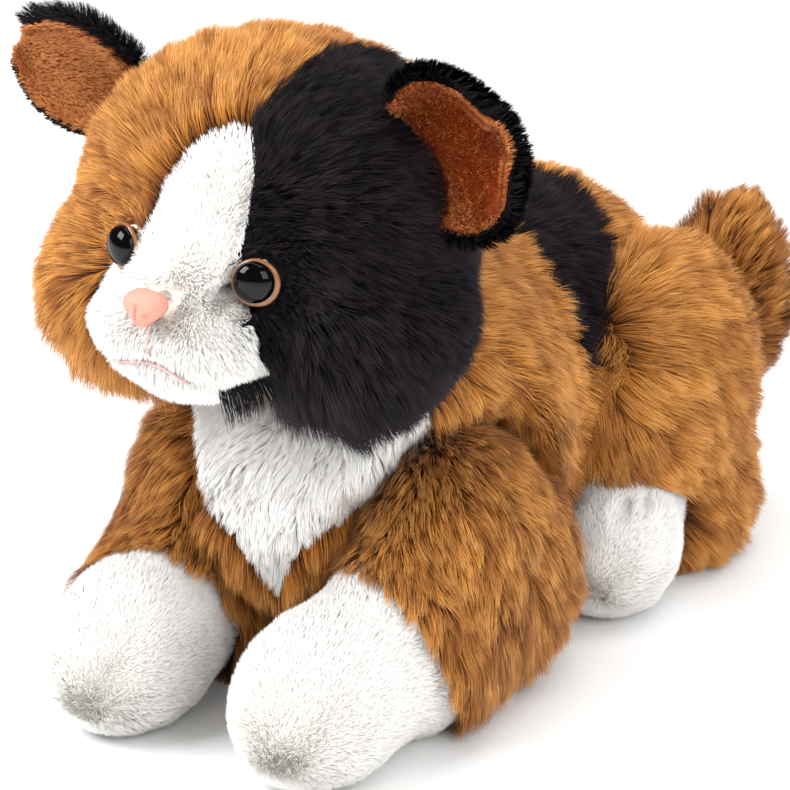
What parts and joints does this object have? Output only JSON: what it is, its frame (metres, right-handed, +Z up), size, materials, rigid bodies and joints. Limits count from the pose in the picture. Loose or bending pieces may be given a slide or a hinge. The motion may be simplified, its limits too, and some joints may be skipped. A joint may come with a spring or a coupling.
{
  "type": "plush cat",
  "caption": "Soft toy cat lying on its belly, with patched long and short pile, cupped ears, glossy eyes, a stuffed head, legs and tail.",
  "frame": {"origin": "centre of the bounding box at the surface the toy lies on", "axes": "+Z up, the cat faces -Y, its left side is +X"},
  "size_m": [0.1838, 0.3386, 0.2309],
  "materials": {
    "ginger_pile": "long golden-brown pile",
    "black_pile": "long black pile",
    "white_pile": "short white pile",
    "ear_lining": "short orange-brown pile",
    "black_short_pile": "short black pile",
    "nose_vinyl": "soft matt vinyl",
    "thread": "embroidery thread",
    "eye_amber": "polished",
    "eye_black": "polished dome",
    "fixing_plastic": "moulded",
    "fibre_fill": "loose polyester fibre",
    "pellet_cloth": "plain woven bag of pellets"
  },
  "bodies": {
    "body": {"body_side_left": "ginger_pile", "body_side_right": "ginger_pile", "bib_panel": "white_pile", "back_patch": "black_pile", "belly_panel": "ginger_pile", "body_stuffing": "fibre_fill", "pellet_bag": "pellet_cloth"},
    "neck": {"neck_stuffing": "fibre_fill"},
    "head": {"head_panel_ginger": "ginger_pile", "head_panel_black": "black_pile", "blaze_muzzle_panel": "white_pile", "chin_panel": "white_pile", "head_stuffing": "fibre_fill", "nose": "nose_vinyl", "nose_washer": "fixing_plastic", "mouth_thread": "thread", "eye_iris_left": "eye_amber", "eye_pupil_left": "eye_black", "eye_washer_left": "fixing_plastic", "eye_iris_right": "eye_amber", "eye_pupil_right": "eye_black", "eye_washer_right": "fixing_plastic"},
    "tail": {"tail_skin": "ginger_pile", "tail_stuffing": "fibre_fill"},
    "ear_left": {"ear_back_left": "black_short_pile", "ear_lining_left": "ear_lining"},
    "front_leg_left": {"sleeve_left": "ginger_pile", "paw_left": "white_pile", "front_leg_stuffing_left": "fibre_fill"},
    "hind_leg_left": {"thigh_left": "ginger_pile", "hind_foot_left": "white_pile", "hind_leg_stuffing_left": "fibre_fill"},
    "ear_right": {"ear_back_right": "black_short_pile", "ear_lining_right": "ear_lining"},
    "front_leg_right": {"sleeve_right": "ginger_pile", "paw_right": "white_pile", "front_leg_stuffing_right": "fibre_fill"},
    "hind_leg_right": {"thigh_right": "ginger_pile", "hind_foot_right": "white_pile", "hind_leg_stuffing_right": "fibre_fill"}
  },
  "joints": [
    {"name": "neck_nod", "type": "hinge", "parent": "body", "child": "neck", "pos_m": [-0.00167, -0.03883, 0.084], "axis": [1, 0, 0], "range_deg": [-6, 6], "stiffness_Nm_per_rad": 4},
    {"name": "neck_turn", "type": "hinge", "parent": "neck", "child": "head", "pos_m": [-0.00167, -0.03883, 0.084], "axis": [0, -0.5, 0.866], "range_deg": [-12, 12], "stiffness_Nm_per_rad": 2},
    {"name": "tail_swing", "type": "hinge", "parent": "body", "child": "tail", "pos_m": [0.01233, 0.11917, 0.054], "axis": [0, 0, 1], "range_deg": [0, 12], "stiffness_Nm_per_rad": 0.4},
    {"name": "front_leg_left_lift", "type": "hinge", "parent": "body", "child": "front_leg_left", "pos_m": [0.04833, -0.02083, 0.042], "axis": [-0.9578, 0, 0.2873], "range_deg": [0, 12], "stiffness_Nm_per_rad": 1},
    {"name": "hind_leg_left_swing", "type": "hinge", "parent": "body", "child": "hind_leg_left", "pos_m": [0.04833, 0.07117, 0.07], "axis": [-1, 0, 0], "range_deg": [0, 10], "stiffness_Nm_per_rad": 1},
    {"name": "ear_left_fold", "type": "hinge", "parent": "head", "child": "ear_left", "pos_m": [0.05927, -0.10183, 0.19741], "axis": [-0.4591, -0.0901, 0.8838], "range_deg": [-10, 10], "stiffness_Nm_per_rad": 0.05},
    {"name": "front_leg_right_lift", "type": "hinge", "parent": "body", "child": "front_leg_right", "pos_m": [-0.05167, -0.02083, 0.042], "axis": [-0.9578, 0, -0.2873], "range_deg": [0, 12], "stiffness_Nm_per_rad": 1},
    {"name": "hind_leg_right_swing", "type": "hinge", "parent": "body", "child": "hind_leg_right", "pos_m": [-0.05167, 0.07117, 0.07], "axis": [-1, 0, 0], "range_deg": [0, 10], "stiffness_Nm_per_rad": 1},
    {"name": "ear_right_fold", "type": "hinge", "parent": "head", "child": "ear_right", "pos_m": [-0.05739, -0.10183, 0.20639], "axis": [0.5889, -0.0901, 0.8031], "range_deg": [-10, 10], "stiffness_Nm_per_rad": 0.05}
  ]
}
